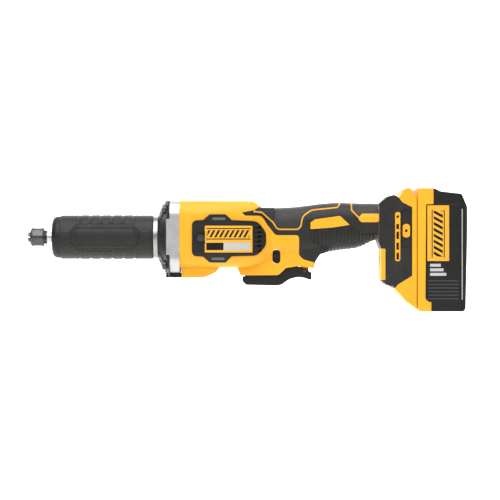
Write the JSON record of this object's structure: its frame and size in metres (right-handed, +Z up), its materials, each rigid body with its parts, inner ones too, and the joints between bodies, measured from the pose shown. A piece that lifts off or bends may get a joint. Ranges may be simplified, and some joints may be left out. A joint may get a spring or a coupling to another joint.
{
  "type": "cordless die grinder",
  "caption": "Straight battery-powered die grinder: collet nose in a rubber sleeve, square gear case, gripped handle with a paddle switch, and a slide-on battery across its tail.",
  "frame": {"origin": "centre of the collet's mouth, on the spindle axis", "axes": "+X from the nose back to the battery along the spindle, +Z up from the paddle's side to the top of the handle, +Y to the tool's right"},
  "size_m": [0.422, 0.075, 0.1181],
  "materials": {
    "yellow_plastic": "satin",
    "battery_yellow": "satin",
    "black_rubber": "soft matt",
    "grey_rubber": "soft matt, finely grained",
    "dark_plastic": "fine grain",
    "cover_casting": "black powder coat over a casting",
    "plate_aluminium": "bead blasted",
    "turned_steel": "turned",
    "dark_steel": "blackened",
    "bearing_steel": "ground",
    "lamination": "stamped",
    "copper": "enamelled",
    "board": "solder mask",
    "cell_wrap": "shrink sleeve",
    "felt": "felt",
    "lead_cover": "silicone"
  },
  "bodies": {
    "root": {"bearing_carrier": "plate_aluminium", "bearing_retainer": "dark_steel", "bearing_rings": "bearing_steel", "clamp_ring": "dark_steel", "control_module": "plate_aluminium", "dial_bezel": "yellow_plastic", "foot_cover_left": "black_rubber", "foot_cover_right": "black_rubber", "foot_vents": "yellow_plastic", "front_cover": "cover_casting", "front_cover_screws": "dark_steel", "grip_pads_left": "grey_rubber", "grip_pads_right": "grey_rubber", "handle_frame_left": "black_rubber", "handle_frame_right": "black_rubber", "housing_left": "yellow_plastic", "housing_right": "yellow_plastic", "housing_screws": "dark_steel", "motor_leads": "lead_cover", "motor_plate": "plate_aluminium", "nose_barrel": "turned_steel", "nose_bezel": "dark_plastic", "nose_seal": "felt", "paddle_pin": "dark_steel", "paddle_spring": "turned_steel", "ribbed_grip_left": "grey_rubber", "ribbed_grip_right": "grey_rubber", "rubber_sleeve": "black_rubber", "side_cover_left": "dark_plastic", "side_cover_right": "dark_plastic", "side_cover_screws": "dark_steel", "stator_coils": "copper", "stator_core": "lamination", "supply_leads": "lead_cover", "switch_module": "dark_plastic", "tag_covers": "yellow_plastic", "terminal_blades": "copper", "terminal_block": "dark_plastic", "vent_screens": "dark_steel"},
    "spindle_set": {"spindle": "turned_steel", "spindle_dust_ring": "black_rubber", "bearing_races": "bearing_steel", "shaft_coupling": "turned_steel", "rotor_shaft": "turned_steel", "rotor_core": "lamination", "cooling_fan": "dark_plastic"},
    "collet_set": {"collet": "dark_steel"},
    "nut_set": {"collet_nut": "dark_steel"},
    "paddle_set": {"paddle": "dark_plastic"},
    "plunger_set": {"switch_plunger": "dark_plastic"},
    "lock_set": {"lock_bolt": "dark_plastic"},
    "dial_set": {"speed_dial": "dark_plastic"},
    "battery_set": {"battery_base": "battery_yellow", "battery_cover": "dark_plastic", "battery_cells": "cell_wrap", "cell_holders": "dark_plastic", "battery_board": "board", "release_spring": "turned_steel"},
    "release_set": {"release_button": "battery_yellow"},
    "gauge_set": {"gauge_button": "dark_plastic"}
  },
  "joints": [
    {"name": "spindle_spin", "type": "hinge", "parent": "root", "child": "spindle_set", "pos_m": [0, 0, 0], "axis": [1, 0, 0], "continuous": true},
    {"name": "collet_slide", "type": "slide", "parent": "spindle_set", "child": "collet_set", "axis": [-1, 0, 0], "range_m": [0, 0.0075]},
    {"name": "nut_turn", "type": "hinge", "parent": "collet_set", "child": "nut_set", "pos_m": [0, 0, 0], "axis": [-1, 0, 0], "range_deg": [0, 2160]},
    {"name": "paddle_press", "type": "hinge", "parent": "root", "child": "paddle_set", "pos_m": [0.26705, 0, -0.0325], "axis": [0, 1, 0], "range_deg": [0, 6], "stiffness_Nm_per_rad": 3, "springref_deg": -4.58, "deforming": ["paddle_spring"]},
    {"name": "plunger_slide", "type": "slide", "parent": "root", "child": "plunger_set", "axis": [0, 0, 1], "range_m": [0, 0.0045]},
    {"name": "lock_slide", "type": "slide", "parent": "root", "child": "lock_set", "axis": [0, -1, 0], "range_m": [0, 0.004]},
    {"name": "dial_turn", "type": "hinge", "parent": "root", "child": "dial_set", "pos_m": [0.34755, 0, -0.0208], "axis": [0, 1, 0], "range_deg": [0, 280]},
    {"name": "battery_slide", "type": "slide", "parent": "root", "child": "battery_set", "axis": [0, 0, 1], "range_m": [0, 0.088]},
    {"name": "release_press", "type": "slide", "parent": "battery_set", "child": "release_set", "axis": [1, 0, 0], "range_m": [0, 0.0033], "stiffness_N_per_m": 500, "springref_m": -0.002, "deforming": ["release_spring"]},
    {"name": "gauge_press", "type": "slide", "parent": "battery_set", "child": "gauge_set", "axis": [0, 0, 1], "range_m": [0, 0.001], "stiffness_N_per_m": 600, "springref_m": -0.001}
  ],
  "couplings": [
    {"joint": "nut_turn", "follows": "collet_slide", "rad_per_m": 5026.5},
    {"joint": "plunger_slide", "follows": "paddle_press", "m_per_rad": 0.041}
  ]
}
